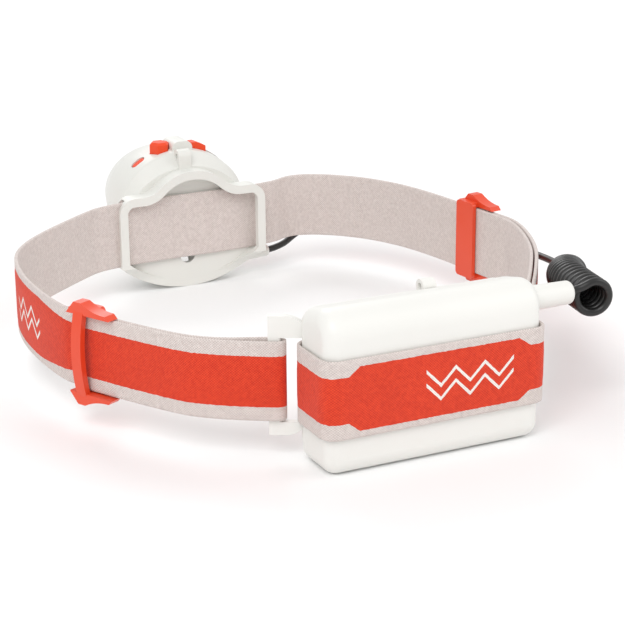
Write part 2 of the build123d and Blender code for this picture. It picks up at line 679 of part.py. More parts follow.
with BuildPart() as lens_gasket:
    extrude(flat_oval(LENS_BACK - GASKET, LENS_HALF_X, LENS_HALF_Z), amount=GASKET, dir=AHEAD)
    middle = flat_oval(LENS_BACK - GASKET, LENS_HALF_X - 1.6, LENS_HALF_Z - 1.6)
    extrude(middle, amount=GASKET, dir=AHEAD, mode=Mode.SUBTRACT)
save(lens_gasket, "lens_gasket")

with BuildPart() as front_lens:
    extrude(flat_oval(LENS_BACK, LENS_HALF_X, LENS_HALF_Z), amount=LENS_THICK, dir=AHEAD)
save(front_lens, "front_lens")

# ---- lamp: light engine ----
SPOT_X = -5.5
SPOT_R = 12.0
SPOT_DEEP = 9.0
FLOOD_X = 12.0
FLOOD_R = 5.0
BOARD_Y = FRONT - 18.4
BOARD_THICK = 1.6
SINK_DEEP = 6.0

with BuildPart() as led_board:
    with BuildSketch(Plane.XZ.offset(-BOARD_Y)):
        with Locations((0, LAMP_Z)):
            Ellipse(21.5, 10.8)
    extrude(amount=-BOARD_THICK)
save(led_board, "led_board")

with BuildPart() as heat_sink:
    with BuildSketch(Plane.XZ.offset(-BOARD_Y)):
        with Locations((0, LAMP_Z - 2)):
            RectangleRounded(32, 22, 2)
    extrude(amount=1.6)
    with BuildSketch(Plane.XZ.offset(-BOARD_Y + 1.6)):
        with Locations((0, LAMP_Z - 2)):
            with GridLocations(4.2, 0, 8, 1):
                Rectangle(1.2, 22)
    extrude(amount=SINK_DEEP - 1.6)
save(heat_sink, "heat_sink")

with BuildPart() as leds:
    for led_x, half in ((SPOT_X, 1.75), (FLOOD_X, 1.25)):
        with Locations((led_x, BOARD_Y + BOARD_THICK + 0.4, LAMP_Z)):
            Box(2 * half, 0.8, 2 * half)
save(leds, "leds")

# metallised cup of the spot beam, and the clear bead of the flood beam
CUP_Y = BOARD_Y + BOARD_THICK + 0.3
with BuildPart() as reflector:
    with BuildSketch(Plane.XY):
        with BuildLine():
            bowl = Spline((2.6, 0), (9.2, 3.6), (SPOT_R, SPOT_DEEP), tangents=[(1, 0.2), (0.35, 1)])
            Polyline(bowl @ 1, (SPOT_R + 0.9, SPOT_DEEP), (SPOT_R + 0.9, SPOT_DEEP - 1.2))
            back = Spline((SPOT_R + 0.9, SPOT_DEEP - 1.2), (9.9, 2.6), (3.6, 0),
                          tangents=[(-0.2, -1), (-1, -0.2)])
            Line(back @ 1, (2.6, 0))
        make_face()
    revolve(axis=Axis.Y)
reflector.part.locate(Location((SPOT_X, CUP_Y, LAMP_Z)))
save(reflector, "reflector")

with BuildPart() as flood_optic:
    with BuildSketch(Plane.XY):
        Polygon((2.2, 0), (3.4, 0), (FLOOD_R, 5.2), (FLOOD_R, 6.6), (0, 6.6), (0, 2.0), (2.2, 1.2),
                align=None)
    revolve(axis=Axis.Y)
    fillet(flood_optic.faces().sort_by(Axis.Y)[-1].edges(), 1.3)
flood_optic.part.locate(Location((FLOOD_X, CUP_Y, LAMP_Z)))
save(flood_optic, "flood_optic")

# control board under the top of the housing, with a switch below each control
SWITCH_BOARD_Z = 43.6
with BuildPart() as control_board:
    with Locations((1.2, POWER_Y, SWITCH_BOARD_Z)):
        Box(20, 7.2, 1.2)
save(control_board, "control_board")

with BuildPart() as switches:
    for switch_x in (POWER_X, LEVER_X + LEVER_TRAVEL / 2 - 3.5):
        with Locations((switch_x, POWER_Y, SWITCH_BOARD_Z + 0.6 + 1.3)):
            Box(5, 5, 2.6)
    with Locations((POWER_X, POWER_Y, SWITCH_BOARD_Z + 3.2 + 0.3)):
        Cylinder(1.5, 0.6)
    with Locations(boost_plane().offset(-5.6)):
        Box(2.6, 3.4, 2.2)
save(switches, "switches")

# screws that hold the light engine, one at each end of its board
with BuildPart() as housing_screws:
    for end_x in (-18.6, 18.6):
        with BuildSketch(Plane.XZ.offset(-BOARD_Y)):
            with Locations((end_x, LAMP_Z)):
                Circle(1.7)
        extrude(amount=1.6)
save(housing_screws, "housing_screws")

# ---- lead: gland on the mounting plate, straight run, curly length ----
GLAND_X = 19.0
GLAND_Y = PLATE_Y + 12.0
GLAND_Z = 8.0
GLAND_TIP_X = 36.0
GLAND_R = 3.2
with BuildPart() as lamp_gland:
    with BuildSketch(Plane.XY):
        with BuildLine():
            Polyline((GLAND_X - 1.4, 0), (GLAND_X - 1.4, GLAND_R + 0.6), (GLAND_X + 1.8, GLAND_R + 0.6),
                     (GLAND_X + 1.8, GLAND_R), (GLAND_TIP_X, 2.3), (GLAND_TIP_X, 0), close=True)
        make_face()
    revolve(axis=Axis.X)
    fillet(lamp_gland.faces().sort_by(Axis.X)[-1].edges(), 0.8)
    foot = GLAND_Y - PLATE_Y - PLATE_DEEP
    with Locations((GLAND_X + 0.2, -foot / 2, 0)):
        Box(3.2, foot, 4.6)
lamp_gland.part.locate(Location((0, GLAND_Y, GLAND_Z)))
save(lamp_gland, "lamp_gland")

COIL_R = 6.7
COIL_AXIS = [
    (62.0, -103.5, 38.3), (64.5, -91.0, 38.0), (68.0, -80.0, 37.0),
    (73.5, -70.0, 35.0), (80.5, -60.0, 32.0), (88.5, -49.5, 28.0),
]
LEAD_RUN = [
    (88.5, -49.5, 28.0), (95.5, -37.0, 25.5), (99.0, -20.0, 24.0), (98.5, -2.0, 23.0),
    (95.5, 17.0, 22.5), (92.5, 36.0, 22.5), (88.5, 54.0, 22.5), (81.5, 71.0, 22.0),
    (71.0, 84.0, 20.5), (59.5, 92.0, 16.0), (49.5, 91.5, 10.8), (42.5, 87.6, 8.4),
    (GLAND_TIP_X, GLAND_Y, GLAND_Z),
]


def tube(name, points, tube_radius):
    """A round tube along straight runs joined by tangent arcs."""
    bends = bend_radii(points)
    with BuildPart() as cord:
        with BuildLine() as path:
            FilletPolyline(*points, radius=bends)
        with BuildSketch(Plane(origin=path.line @ 0, z_dir=path.line % 0)):
            Circle(tube_radius)
        sweep(path=path.line)
    save(cord, name)
    print(name, "length", round(path.wire().length, 1), "radii", [round(bend, 1) for bend in bends])


tube("cord_coil", COIL_AXIS, COIL_R)
tube("cord_run", LEAD_RUN, LEAD_R)

# short free length from the boot into the first turn
with BuildPart() as cord_lead:
    with BuildSketch(Plane.YZ.offset(BOOT_TIP_X)):
        with Locations((BOOT_Y, BOOT_Z)):
            Circle(LEAD_R)
    extrude(amount=COIL_AXIS[0][0] - BOOT_TIP_X - COIL_R + 1.0)
save(cord_lead, "cord_lead")
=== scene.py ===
"""A headlamp: oval lamp, elastic head strap, rear battery pack and a curly lead.

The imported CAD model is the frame. Each section below makes one piece, or finishes CAD pieces.
"""
import math

import bmesh
import bpy
from mathutils import Matrix, Vector
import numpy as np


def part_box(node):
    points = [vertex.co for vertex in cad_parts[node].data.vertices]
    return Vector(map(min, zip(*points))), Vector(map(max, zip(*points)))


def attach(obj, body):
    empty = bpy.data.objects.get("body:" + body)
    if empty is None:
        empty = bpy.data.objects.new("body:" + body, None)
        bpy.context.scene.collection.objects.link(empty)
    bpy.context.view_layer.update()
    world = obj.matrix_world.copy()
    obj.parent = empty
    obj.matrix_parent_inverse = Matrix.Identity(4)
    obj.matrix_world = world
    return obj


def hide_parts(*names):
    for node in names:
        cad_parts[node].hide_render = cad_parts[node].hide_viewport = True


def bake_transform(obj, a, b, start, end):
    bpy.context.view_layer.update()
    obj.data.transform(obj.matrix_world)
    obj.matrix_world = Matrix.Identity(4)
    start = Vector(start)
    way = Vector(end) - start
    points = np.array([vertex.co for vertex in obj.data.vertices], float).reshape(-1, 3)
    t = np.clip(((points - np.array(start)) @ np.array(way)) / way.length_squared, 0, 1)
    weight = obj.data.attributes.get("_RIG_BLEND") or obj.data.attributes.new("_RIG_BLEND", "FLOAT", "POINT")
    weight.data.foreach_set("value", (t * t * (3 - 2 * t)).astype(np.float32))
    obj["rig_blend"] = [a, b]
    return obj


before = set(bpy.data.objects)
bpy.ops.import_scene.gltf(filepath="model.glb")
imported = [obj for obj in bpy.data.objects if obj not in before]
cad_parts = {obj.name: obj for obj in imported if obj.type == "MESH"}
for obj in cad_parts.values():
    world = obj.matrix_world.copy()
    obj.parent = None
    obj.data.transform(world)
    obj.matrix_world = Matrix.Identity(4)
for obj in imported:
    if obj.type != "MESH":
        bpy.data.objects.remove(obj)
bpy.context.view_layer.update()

# ---- camera ----
# A 105 mm lens on a 36 mm sensor, behind the pack, to the wearer's left and looking down a
# little. Lengths in this script are in millimetres, and angles in degrees, unless they say so.
MM = 0.001
SENSOR_WIDTH = 36.0
FOCAL_LENGTH = 104.95
CAMERA_PLACE = (-253.4, -553.2, 214.2)
CAMERA_HEADING = -25.8
LOOKING_DOWN = 18.36
CAMERA_LEAN = -0.47
camera_data = bpy.data.cameras.new("camera")
camera_data.sensor_width = SENSOR_WIDTH
camera_data.lens = FOCAL_LENGTH
camera = bpy.data.objects.new("camera", camera_data)
bpy.context.scene.collection.objects.link(camera)
stand = Matrix.Translation(Vector(CAMERA_PLACE) * MM)
heading = Matrix.Rotation(math.radians(CAMERA_HEADING), 4, "Z")
tilt = Matrix.Rotation(math.radians(90 - LOOKING_DOWN), 4, "X")
lean = Matrix.Rotation(math.radians(CAMERA_LEAN), 4, "Z")
camera.matrix_world = stand @ heading @ tilt @ lean
bpy.context.scene.camera = camera

# ---- curly lead ----
# Two fine cores in a black polyurethane jacket, extruded and then wound hot on a rod, so that
# it springs back into close turns. It leaves the pack's boot, coils, opens out, and runs along
# the strap to the mounting plate.
LEAD_D = 2.6 * MM
LEAD_RESOLUTION = 4
COIL_R = 5.3 * MM
CLOSE_PITCH = 2.85 * MM
OPEN_PITCH = 4.6 * MM
OPEN_TURNS = 3
EXIT_TURN = 0.42
TURN_POINTS = 16
START_ANGLE = math.radians(128)
BOOT_TIP = [(54.0, -101.7, 41.0), (56.2, -101.8, 41.4)]
COIL_AXIS = [
    (62.0, -103.5, 38.3), (64.5, -91.0, 38.0), (68.0, -80.0, 37.0),
    (73.5, -70.0, 35.0), (80.5, -60.0, 32.0), (88.5, -49.5, 28.0),
]
COIL_EXIT = [(94.3, -50.2, 24.6), (95.2, -45.5, 23.4)]
LEAD_RUN = [
    (95.5, -37.0, 25.5), (99.0, -20.0, 24.0), (98.5, -2.0, 23.0),
    (95.5, 17.0, 22.5), (92.5, 36.0, 22.5), (88.5, 54.0, 22.5), (81.5, 71.0, 22.0),
    (71.0, 84.0, 20.5), (59.5, 92.0, 16.0), (49.5, 91.5, 10.8), (42.5, 87.6, 8.4),
    (36.0, 86.5, 8.0),
]


def smooth_curve(name, points, resolution=8):
    """A smooth open curve that has these points, in metres, as its control points."""
    data = bpy.data.curves.new(name, "CURVE")
    data.dimensions = "3D"
    spline = data.splines.new("NURBS")
    spline.points.add(len(points) - 1)
    for control, place in zip(spline.points, points):
        control.co = (*place, 1.0)
    spline.order_u = 3
    spline.use_endpoint_u = True
    spline.resolution_u = resolution
    piece = bpy.data.objects.new(name, data)
    bpy.context.scene.collection.objects.link(piece)
    return piece


def read_line(points, resolution=8):
    """The places, in metres, along the smooth curve with these control points in mm."""
    piece = smooth_curve("guide", [Vector(point) * MM for point in points], resolution)
    mesh = bpy.data.meshes.new_from_object(piece)
    line = [vert.co.copy() for vert in mesh.vertices]
    bpy.data.meshes.remove(mesh)
    bpy.data.objects.remove(piece)
    return line


def coil_turns(axis):
    """Control points of the turns, clockwise as seen from the first one."""
    length = sum((b - a).length for a, b in zip(axis, axis[1:]))
    places = []
    reached, walked = 0.0, 0.0
    angle = START_ANGLE
    side = Vector((1, 0, 0))
    here = 0
    while reached < length + EXIT_TURN * OPEN_PITCH:
        while here < len(axis) - 2 and walked + (axis[here + 1] - axis[here]).length < reached:
            walked += (axis[here + 1] - axis[here]).length
            here += 1
        travel = (axis[here + 1] - axis[here]).normalized()
        centre = axis[here] + travel * (reached - walked)
        side = (side - travel * side.dot(travel)).normalized()
        rise = side.cross(travel)
        if rise.z < 0:
            rise = -rise
        swing = side * math.cos(angle) + rise * math.sin(angle)
        places.append(centre + swing * COIL_R)
        open_turns = length - reached < OPEN_TURNS * OPEN_PITCH
        reached += (OPEN_PITCH if open_turns else CLOSE_PITCH) / TURN_POINTS
        angle -= 2 * math.pi / TURN_POINTS
    return places


turns = coil_turns(read_line(COIL_AXIS))
lead_points = [Vector(point) * MM for point in BOOT_TIP] + turns
lead_points += [Vector(point) * MM for point in COIL_EXIT + LEAD_RUN]
lead = smooth_curve("curly_lead", lead_points, LEAD_RESOLUTION)
lead.data.bevel_depth = LEAD_D / 2
lead.data.bevel_resolution = 5
lead.data.use_fill_caps = True


def linear(code):
    """An sRGB hex colour as the linear values that shaders take."""
    parts = [int(code[i:i + 2], 16) / 255 for i in (0, 2, 4)]
    return [c / 12.92 if c <= 0.04045 else ((c + 0.055) / 1.055) ** 2.4 for c in parts] + [1.0]


def new_material(name):
    """A material with an empty tree but for its principled shader and output."""
    material = bpy.data.materials.new(name)
    material.use_nodes = True
    return material, material.node_tree, material.node_tree.nodes["Principled BSDF"]


def add(tree, kind, settings=None, inputs=None):
    """Add a shader node, then set its properties and set or link its inputs."""
    new = tree.nodes.new("ShaderNode" + kind)
    for key, value in (settings or {}).items():
        setattr(new, key, value)
    for key, value in (inputs or {}).items():
        if isinstance(value, bpy.types.NodeSocket):
            tree.links.new(value, new.inputs[key])
        else:
            new.inputs[key].default_value = value
    return new


# Polyurethane from the die is dark and glossy, and shows the light along each turn, with faint
# rubbed patches. Noise scales are cells in a metre: patches of 5.6 mm, and a grain of 0.7 mm,
# which is coarser than the real one so that it shows.
COLOUR_MIX = {"data_type": "RGBA"}
jacket, tree, shader = new_material("extruded polyurethane jacket")
place = add(tree, "TexCoord").outputs["Object"]
rub = add(tree, "TexNoise", inputs={"Vector": place, "Scale": 180.0, "Detail": 4.0})
dark = add(tree, "Mix", COLOUR_MIX, {0: rub.outputs[0], 6: linear("161616"), 7: linear("242322")})
gloss = add(tree, "MapRange", inputs={"Value": rub.outputs[0], "To Min": 0.26, "To Max": 0.42})
tree.links.new(dark.outputs[2], shader.inputs["Base Color"])
tree.links.new(gloss.outputs["Result"], shader.inputs["Roughness"])
grain = add(tree, "TexNoise", inputs={"Vector": place, "Scale": 1400.0, "Detail": 2.0})
bump = add(tree, "Bump", inputs={"Strength": 0.15, "Distance": 0.0001, "Height": grain.outputs[0]})
tree.links.new(bump.outputs["Normal"], shader.inputs["Normal"])
lead.data.materials.append(jacket)
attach(lead, "root")
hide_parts("cord_lead", "cord_coil", "cord_run")

# ---- head strap ----
# 25 mm knitted elastic: an orange face with pale edges, and a pale warm grey back. One length
# goes round both wing bars of the pack and doubles back to the adjusters, with heat-cut ends.
WING_ROOT = Vector((33.0, -96.5))
WING_ANGLE = math.radians(28.0)
STRAP_LAYER = 1.7
BEND = 2.1
FOLD = 8.1
# how far out along the wing each layer leaves the bar
TAIL_LEAVES = 13.6
LEFT_LEAVES = 15.5
RIGHT_LEAVES = 14.5
LEFT_RUN = [(-57.7, -82.3), (-67.6, -72.2), (-88.2, -31.5)]
OVER_FRONT = [
    (-89.8, -12.0), (-89.2, 9.0), (-84.6, 31.0), (-73.0, 47.5), (-50.4, 66.6), (-33.5, 78.8),
    (33.5, 78.8), (46.5, 88.0), (61.0, 81.0), (74.0, 65.5),
]
RIGHT_RUN = [(82.2, 42.5), (88.9, -14.0), (78.2, -42.0), (63.4, -64.5), (53.0, -79.0)]
# how far each adjuster sits from the end of its run, and the tail reaches past it
LEFT_BUCKLE = 11.5
RIGHT_BUCKLE = 30.0
TAIL_TUCK = 2.5
LEFT_STRAIGHT = 6.0
RIGHT_STRAIGHT = 13.0
STRAP_RESOLUTION = 10


def wing_point(side, along, towards_head):
    """A plan point set out along a wing bar's plate and off its middle plane."""
    outwards = Vector((math.cos(WING_ANGLE), math.sin(WING_ANGLE)))
    across = Vector((-math.sin(WING_ANGLE), math.cos(WING_ANGLE)))
    point = WING_ROOT + outwards * along + across * towards_head
    return (side * point.x, point.y)


def beside(points, gap):
    """An open plan route moved to the left of its travel."""
    moved = []
    for before, here, after in zip([None] + points[:-1], points, points[1:] + [None]):
        arrive = (Vector(here) - Vector(before)).normalized() if before else None
        leave = (Vector(after) - Vector(here)).normalized() if after else arrive
        arrive = arrive or leave
        middle = (arrive + leave).normalized()
        reach = gap / middle.dot(arrive)
        moved.append((here[0] - middle.y * reach, here[1] + middle.x * reach))
    return moved


def back_from(end, start, distance):
    """The point on the straight run to end that is a distance short of it."""
    place = Vector(end) - (Vector(end) - Vector(start)).normalized() * distance
    return (place.x, place.y)


left_tail = beside(LEFT_RUN + OVER_FRONT[:1], STRAP_LAYER)
right_tail = beside(OVER_FRONT[-1:] + RIGHT_RUN, STRAP_LAYER)
left_end = back_from(left_tail[2], left_tail[1], LEFT_BUCKLE - TAIL_TUCK)
right_end = back_from(right_tail[1], right_tail[2], RIGHT_BUCKLE - TAIL_TUCK)
# the strap lies straight under each adjuster, over the adjuster's whole travel
left_straight = back_from(LEFT_RUN[2], LEFT_RUN[1], LEFT_STRAIGHT)
right_straight = back_from(RIGHT_RUN[1], RIGHT_RUN[0], RIGHT_STRAIGHT)
right_tail_straight = back_from(right_tail[2], right_tail[1], RIGHT_STRAIGHT)
route = [left_end, left_tail[1], left_tail[0], wing_point(-1, TAIL_LEAVES, -BEND)]
route += [wing_point(-1, FOLD, -BEND), wing_point(-1, FOLD, BEND)]
route += [wing_point(-1, LEFT_LEAVES, BEND)]
route += LEFT_RUN[:2] + [left_straight] + LEFT_RUN[2:] + OVER_FRONT
route += RIGHT_RUN[:1] + [right_straight] + RIGHT_RUN[1:]
route += [wing_point(1, RIGHT_LEAVES, BEND)]
route += [wing_point(1, FOLD, BEND), wing_point(1, FOLD, -BEND)]
route += [wing_point(1, TAIL_LEAVES, -BEND)] + right_tail[5:1:-1]
route += [right_tail_straight, right_end]


def lay_webbing(name, line, section, turn):
    """Draw a strap's section along a level line.

    The distances along and across it are kept as attributes in metres, and the face is kept as
    the section's offset in millimetres.
    """
    steps, sides = len(line) - 1, len(section)
    strap = bmesh.new()
    bmesh.ops.create_grid(strap, x_segments=steps, y_segments=sides, size=1.0)
    along = strap.verts.layers.float.new("along")
    across = strap.verts.layers.float.new("across")
    face = strap.verts.layers.float.new("face")
    closed = (line[0] - line[-1]).length < 1e-6
    walked = [0.0]
    for before, after in zip(line, line[1:]):
        walked.append(walked[-1] + (after - before).length)
    for vert in strap.verts:
        step = round((vert.co.x + 1) / 2 * steps)
        side = round((vert.co.y + 1) / 2 * sides) % sides
        before = line[step - 1] if step else (line[-2] if closed else line[0])
        after = line[step + 1] if step < steps else (line[1] if closed else line[-1])
        outwards = Vector((0, 0, turn)).cross(after - before).normalized()
        offset, height = section[side]
        vert.co = line[step] + outwards * offset * MM + Vector((0, 0, height * MM))
        vert[along] = walked[step]
        vert[across] = height * MM
        vert[face] = offset
    bmesh.ops.remove_doubles(strap, verts=strap.verts, dist=1e-7)
    bmesh.ops.holes_fill(strap, edges=strap.edges, sides=0)
    bmesh.ops.recalc_face_normals(strap, faces=strap.faces)
    for polygon in strap.faces:
        polygon.smooth = len(polygon.verts) == 4
    mesh = bpy.data.meshes.new(name)
    strap.to_mesh(mesh)
    strap.free()
    piece = bpy.data.objects.new(name, mesh)
    bpy.context.scene.collection.objects.link(piece)
    return piece, walked


# offset off the middle of the cloth, and height off the middle of its width
STRAP_SECTION = [
    (0.30, -12.5), (0.56, -12.25), (0.60, -11.6), (0.60, -8.3), (0.70, -7.9), (0.70, -4.0),
    (0.70, 0.0), (0.70, 4.0), (0.70, 7.9), (0.60, 8.3), (0.60, 11.6), (0.56, 12.25), (0.30, 12.5),
    (-0.30, 12.5), (-0.62, 12.25), (-0.66, 11.6), (-0.66, 6.0), (-0.66, 0.0), (-0.66, -6.0),
    (-0.66, -11.6), (-0.62, -12.25), (-0.30, -12.5),
]
STRAP_HALF = 12.5
STRAP_MID = 25.0
centre_line = read_line([(x, y, STRAP_MID) for x, y in route], STRAP_RESOLUTION)
strap, walked = lay_webbing("head_strap", centre_line, STRAP_SECTION, 1)


def nearest_distance(plan_point):
    """How far along the strap the place nearest to a plan point on the inner layer is."""
    target = Vector((plan_point[0] * MM, plan_point[1] * MM, STRAP_MID * MM))
    best = min(range(len(centre_line)), key=lambda i: (centre_line[i] - target).length)
    return walked[best]


left_buckle = nearest_distance(back_from(LEFT_RUN[2], LEFT_RUN[1], LEFT_BUCKLE))

# The tails are turned so that they show their orange face outwards too. The pale edge is broad
# behind the left adjuster, and narrows between 6 and 30 mm in front of it.
EDGE_WIDE, EDGE_NARROW = 4.5, 2.2
NARROWS_FROM, NARROWS_TO = 0.006, 0.030
left_fold = nearest_distance(wing_point(-1, FOLD, 0))
right_fold = nearest_distance(wing_point(1, FOLD, 0))
attributes = strap.data.attributes
half = attributes.new("half", "FLOAT", "POINT")
for index, distance in enumerate(attributes["along"].data):
    if distance.value < left_fold or distance.value > right_fold:
        attributes["face"].data[index].value *= -1
    past = distance.value - left_buckle
    widen = min(max((past - NARROWS_FROM) / (NARROWS_TO - NARROWS_FROM), 0), 1)
    half.data[index].value = (STRAP_HALF - EDGE_WIDE + (EDGE_WIDE - EDGE_NARROW) * widen) * MM

# The knit: rows about 0.45 mm and ribs about 0.4 mm apart in the real cloth, drawn twice as
# coarse so that they show. The face counts as the outer one where it stands this far out.
ROWS_APART = 0.9
RIBS_APART = 0.8
EDGE_WANDER = 0.5
OUTER_FACE = 0.45
# how much shade is painted between the stitches, and how high the stitches bump
KNIT_SHADE = 0.45
KNIT_HEIGHT = 0.5
WEAR = 0.12
# The woven mark: two plain zigzag rows, each this far off the middle of the cloth.
ZIGZAG_RUN = 10.0
ZIGZAG_RISE = 5.0
ROW_OFF_MIDDLE = 2.1
THREAD_HALF = 0.62
MARK_HALF = 3.2
PLUS = {"operation": "ADD"}
MINUS = {"operation": "SUBTRACT"}
TIMES = {"operation": "MULTIPLY"}
BELOW = {"operation": "LESS_THAN"}
ABOVE = {"operation": "GREATER_THAN"}
LESSER = {"operation": "MINIMUM"}
WAVE = {"operation": "SINE"}
SIZE = {"operation": "ABSOLUTE"}
BOUNCE = {"operation": "PINGPONG"}


def elastic(name, motif_centre, motif_width, half_width):
    """Knitted elastic, matt and a little furry, with fine rows of stitches and ribs along it.

    The orange stripe's edge wanders by half a stitch, and its colour is unevenly worn. The fuzz is
    1.1 mm noise and the wear 17 mm noise.
    """
    material, tree, shader = new_material(name)
    along = add(tree, "Attribute", {"attribute_name": "along"}).outputs["Fac"]
    across = add(tree, "Attribute", {"attribute_name": "across"}).outputs["Fac"]
    face = add(tree, "Attribute", {"attribute_name": "face"}).outputs["Fac"]
    place = add(tree, "TexCoord").outputs["Object"]
    row_angle = add(tree, "Math", TIMES, {0: along, 1: 2 * math.pi / (ROWS_APART * MM)})
    rows = add(tree, "Math", WAVE, {0: row_angle.outputs[0]})
    rib_angle = add(tree, "Math", TIMES, {0: across, 1: 2 * math.pi / (RIBS_APART * MM)})
    ribs = add(tree, "Math", WAVE, {0: rib_angle.outputs[0]})
    knit = add(tree, "Math", TIMES, {0: rows.outputs[0], 1: ribs.outputs[0]}).outputs[0]
    fuzz = add(tree, "TexNoise", inputs={"Vector": place, "Scale": 900.0, "Detail": 3.0}).outputs[0]
    cloud = add(tree, "TexNoise", inputs={"Vector": place, "Scale": 60.0, "Detail": 3.0}).outputs[0]
    # the orange stripe, on the outer face only
    uneven = add(tree, "Math", MINUS, {0: fuzz, 1: 0.5})
    wander = add(tree, "Math", TIMES, {0: uneven.outputs[0], 1: EDGE_WANDER * MM}).outputs[0]
    off_middle = add(tree, "Math", SIZE, {0: across})
    reach = add(tree, "Math", PLUS, {0: off_middle.outputs[0], 1: wander})
    inside = add(tree, "Math", BELOW, {0: reach.outputs[0], 1: half_width(tree, along)})
    outer = add(tree, "Math", ABOVE, {0: face, 1: OUTER_FACE})
    faced = add(tree, "Math", TIMES, {0: inside.outputs[0], 1: outer.outputs[0]}).outputs[0]
    # the mark, in cream thread
    centred = add(tree, "Math", MINUS, {0: along, 1: motif_centre}).outputs[0]
    shifted = add(tree, "Math", PLUS, {0: centred, 1: ZIGZAG_RUN * MM})
    peak = add(tree, "Math", BOUNCE, {0: shifted.outputs[0], 1: ZIGZAG_RISE * MM})
    swing = add(tree, "Math", MINUS, {0: peak.outputs[0], 1: ZIGZAG_RISE / 2 * MM})
    level = add(tree, "Math", MINUS, {0: across, 1: swing.outputs[0]}).outputs[0]
    raised = add(tree, "Math", PLUS, {0: level, 1: ROW_OFF_MIDDLE * MM})
    off_row = add(tree, "Math", BOUNCE, {0: raised.outputs[0], 1: ROW_OFF_MIDDLE * MM})
    stroke = add(tree, "Math", SIZE, {0: off_row.outputs[0]})
    frayed = add(tree, "Math", PLUS, {0: stroke.outputs[0], 1: wander})
    thread = add(tree, "Math", BELOW, {0: frayed.outputs[0], 1: THREAD_HALF * MM})
    height_off = add(tree, "Math", SIZE, {0: level})
    low = add(tree, "Math", BELOW, {0: height_off.outputs[0], 1: MARK_HALF * MM})
    length_off = add(tree, "Math", SIZE, {0: centred})
    near = add(tree, "Math", BELOW, {0: length_off.outputs[0], 1: motif_width / 2})
    rows_drawn = add(tree, "Math", TIMES, {0: thread.outputs[0], 1: low.outputs[0]})
    allowed = add(tree, "Math", TIMES, {0: near.outputs[0], 1: faced})
    marked = add(tree, "Math", TIMES, {0: rows_drawn.outputs[0], 1: allowed.outputs[0]}).outputs[0]
    # colours: painted shade between the stitches, mixed with random tone from the fuzz
    knit_shade = add(tree, "Math", TIMES, {0: knit, 1: KNIT_SHADE})
    shade = add(tree, "Math", PLUS, {0: knit_shade.outputs[0], 1: fuzz}).outputs[0]
    pale = add(tree, "Mix", COLOUR_MIX, {0: shade, 6: linear("BDB1AC"), 7: linear("E4DAD5")})
    orange = add(tree, "Mix", COLOUR_MIX, {0: shade, 6: linear("C4260C"), 7: linear("F04A26")})
    cream = add(tree, "Mix", COLOUR_MIX, {0: shade, 6: linear("DDD6CF"), 7: linear("FBF8F3")})
    worn = add(tree, "Mix", {"data_type": "RGBA", "blend_type": "MULTIPLY"},
               {0: WEAR, 6: orange.outputs[2], 7: cloud})
    body = add(tree, "Mix", COLOUR_MIX, {0: faced, 6: pale.outputs[2], 7: worn.outputs[2]})
    colour = add(tree, "Mix", COLOUR_MIX, {0: marked, 6: body.outputs[2], 7: cream.outputs[2]})
    tree.links.new(colour.outputs[2], shader.inputs["Base Color"])
    shader.inputs["Roughness"].default_value = 0.88
    shader.inputs["Sheen Weight"].default_value = 0.06
    shader.inputs["Sheen Roughness"].default_value = 0.5
    knit_height = add(tree, "Math", TIMES, {0: knit, 1: KNIT_HEIGHT})
    nap = add(tree, "Math", PLUS, {0: fuzz, 1: marked})
    height = add(tree, "Math", PLUS, {0: knit_height.outputs[0], 1: nap.outputs[0]}).outputs[0]
    bump = add(tree, "Bump", inputs={"Strength": 0.55, "Distance": 0.00018, "Height": height})
    tree.links.new(bump.outputs["Normal"], shader.inputs["Normal"])
    return material


def strap_half(tree, along):
    """Half the orange stripe's width, stored along the strap."""
    return add(tree, "Attribute", {"attribute_name": "half"}).outputs["Fac"]


MARK_PAST_BUCKLE = 42.0
STRAP_MARK_WIDTH = 26.0
strap_cloth = elastic("knitted elastic, head strap", left_buckle + MARK_PAST_BUCKLE * MM,
                      STRAP_MARK_WIDTH * MM, strap_half)
strap.data.materials.append(strap_cloth)
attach(strap, "root")
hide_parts("headband")

# ---- band round the pack ----
# The same elastic in a thinner grade, with its two ends sewn into a loop. It passes through the
# slots in both wings and over the cover, and holds the cover shut.
BAND_SECTION = [
    (0.25, -12.2), (0.46, -12.0), (0.50, -11.4), (0.50, -6.0), (0.60, -4.0), (0.60, 0.0),
    (0.60, 4.0), (0.50, 6.0), (0.50, 11.4), (0.46, 12.0), (0.25, 12.2),
    (-0.25, 12.2), (-0.52, 12.0), (-0.56, 11.4), (-0.56, 0.0), (-0.56, -11.4), (-0.52, -12.0),
    (-0.25, -12.2),
]
BAND_MID = 24.4
BAND_LAYER = 0.6
CORNER = 5.2
BAND_RESOLUTION = 12
low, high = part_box("pack_band")
half_x = (high.x - low.x) / 2 / MM - BAND_LAYER
front_y = low.y / MM + BAND_LAYER
back_y = high.y / MM - BAND_LAYER
loop = [(0.0, back_y), (-half_x + 2 * CORNER, back_y), (-half_x, back_y)]
loop += [(-half_x, back_y - 2 * CORNER)]
loop += [(-half_x, front_y + 2 * CORNER), (-half_x, front_y), (-half_x + 2 * CORNER, front_y)]
loop += [(0.0, front_y)]
loop += [(-x, y) for x, y in reversed(loop[:-1])]
band_line = read_line([(x, y, BAND_MID) for x, y in loop], BAND_RESOLUTION)
band_line[-1] = band_line[0].copy()
# the ends are sewn together; a hair-thin ring each side keeps the pattern's two ends apart
SEAM = Vector((0.01 * MM, 0, 0))
band_line.insert(1, band_line[0] - SEAM)
band_line.insert(-1, band_line[0] + SEAM)
band, band_walked = lay_webbing("pack_band_elastic", band_line, BAND_SECTION, -1)
band_length = band_walked[-1]

# the stripe's half width over the cover and at the sides, and where it steps, from the middle
STRIPE_WIDE, STRIPE_NARROW = 10.0, 7.2
LEFT_STEP = (-30.5, -27.0)
RIGHT_STEP = (27.0, 31.0)


